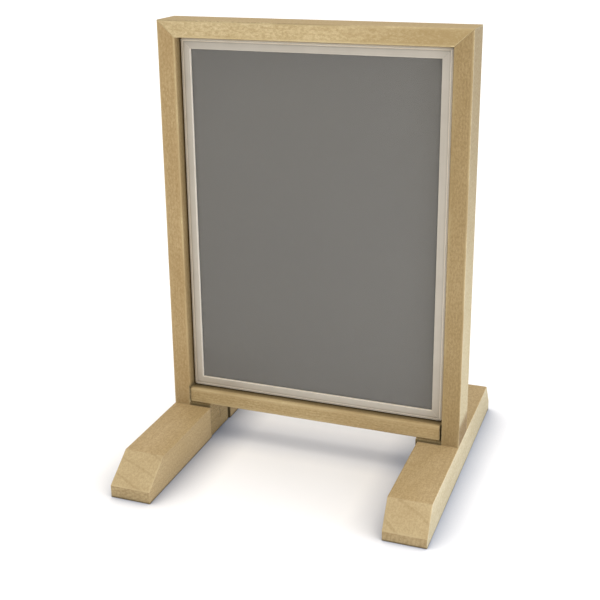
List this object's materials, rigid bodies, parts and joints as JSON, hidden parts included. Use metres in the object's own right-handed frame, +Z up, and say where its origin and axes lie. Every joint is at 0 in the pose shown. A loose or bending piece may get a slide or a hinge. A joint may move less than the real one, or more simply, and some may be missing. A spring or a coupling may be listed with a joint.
{
  "type": "sign stand",
  "caption": "Free-standing pavement sign: a sand-coloured lumber frame on two long sloped feet, with a hinged aluminium poster frame on each face.",
  "frame": {"origin": "on the floor under the middle of the frame", "axes": "+X across the sign to the viewer's right, -Y out of the front face, +Z up"},
  "size_m": [0.65, 0.674, 0.928],
  "materials": {
    "frame_lumber": "fine sawn sand-coloured lumber with eased edges",
    "foot_lumber": "planed sand-coloured post lumber, sawn slopes",
    "satin_aluminium": "satin anodised",
    "grey_fluted_plastic": "matte with fine flutes",
    "clear_sheet": "clear anti-glare plastic sheet",
    "spring_steel": "plain spring steel",
    "zinc_steel": "bright zinc plated",
    "dowel_wood": "plain beech"
  },
  "bodies": {
    "stand": {"left_upright": "frame_lumber", "right_upright": "frame_lumber", "top_rail": "frame_lumber", "bottom_rail": "frame_lumber", "left_foot": "foot_lumber", "right_foot": "foot_lumber", "left_leg_block": "foot_lumber", "right_leg_block": "foot_lumber", "left_batten": "frame_lumber", "right_batten": "frame_lumber", "top_batten": "frame_lumber", "bottom_batten": "frame_lumber", "front_base_top": "satin_aluminium", "front_base_bottom": "satin_aluminium", "front_base_left": "satin_aluminium", "front_base_right": "satin_aluminium", "front_backing_panel": "grey_fluted_plastic", "front_clear_sheet": "clear_sheet", "front_corner_keys": "zinc_steel", "front_cover_springs": "spring_steel", "front_frame_screws": "zinc_steel", "rear_base_top": "satin_aluminium", "rear_base_bottom": "satin_aluminium", "rear_base_left": "satin_aluminium", "rear_base_right": "satin_aluminium", "rear_backing_panel": "grey_fluted_plastic", "rear_clear_sheet": "clear_sheet", "rear_corner_keys": "zinc_steel", "rear_cover_springs": "spring_steel", "rear_frame_screws": "zinc_steel", "corner_dowels": "dowel_wood", "rail_dowels": "dowel_wood", "foot_lag_screws": "zinc_steel", "leg_lag_screws": "zinc_steel", "block_screws": "zinc_steel", "batten_screws": "zinc_steel"},
    "front_cover_top": {"front_cover_top": "satin_aluminium"},
    "front_cover_bottom": {"front_cover_bottom": "satin_aluminium"},
    "front_cover_left": {"front_cover_left": "satin_aluminium"},
    "front_cover_right": {"front_cover_right": "satin_aluminium"},
    "rear_cover_top": {"rear_cover_top": "satin_aluminium"},
    "rear_cover_bottom": {"rear_cover_bottom": "satin_aluminium"},
    "rear_cover_left": {"rear_cover_left": "satin_aluminium"},
    "rear_cover_right": {"rear_cover_right": "satin_aluminium"}
  },
  "joints": [
    {"name": "front_cover_top_hinge", "type": "hinge", "parent": "stand", "child": "front_cover_top", "pos_m": [0, -0.0154, 0.887], "axis": [-1, 0, 0], "range_deg": [0, 90]},
    {"name": "front_cover_bottom_hinge", "type": "hinge", "parent": "stand", "child": "front_cover_bottom", "pos_m": [0, -0.0154, 0.121], "axis": [1, 0, 0], "range_deg": [0, 90]},
    {"name": "front_cover_left_hinge", "type": "hinge", "parent": "stand", "child": "front_cover_left", "pos_m": [-0.28, -0.0154, 0.504], "axis": [0, 0, -1], "range_deg": [0, 90]},
    {"name": "front_cover_right_hinge", "type": "hinge", "parent": "stand", "child": "front_cover_right", "pos_m": [0.28, -0.0154, 0.504], "axis": [0, 0, 1], "range_deg": [0, 90]},
    {"name": "rear_cover_top_hinge", "type": "hinge", "parent": "stand", "child": "rear_cover_top", "pos_m": [0, 0.0154, 0.887], "axis": [1, 0, 0], "range_deg": [0, 90]},
    {"name": "rear_cover_bottom_hinge", "type": "hinge", "parent": "stand", "child": "rear_cover_bottom", "pos_m": [0, 0.0154, 0.121], "axis": [-1, 0, 0], "range_deg": [0, 90]},
    {"name": "rear_cover_left_hinge", "type": "hinge", "parent": "stand", "child": "rear_cover_left", "pos_m": [-0.28, 0.0154, 0.504], "axis": [0, 0, 1], "range_deg": [0, 90]},
    {"name": "rear_cover_right_hinge", "type": "hinge", "parent": "stand", "child": "rear_cover_right", "pos_m": [0.28, 0.0154, 0.504], "axis": [0, 0, -1], "range_deg": [0, 90]}
  ]
}
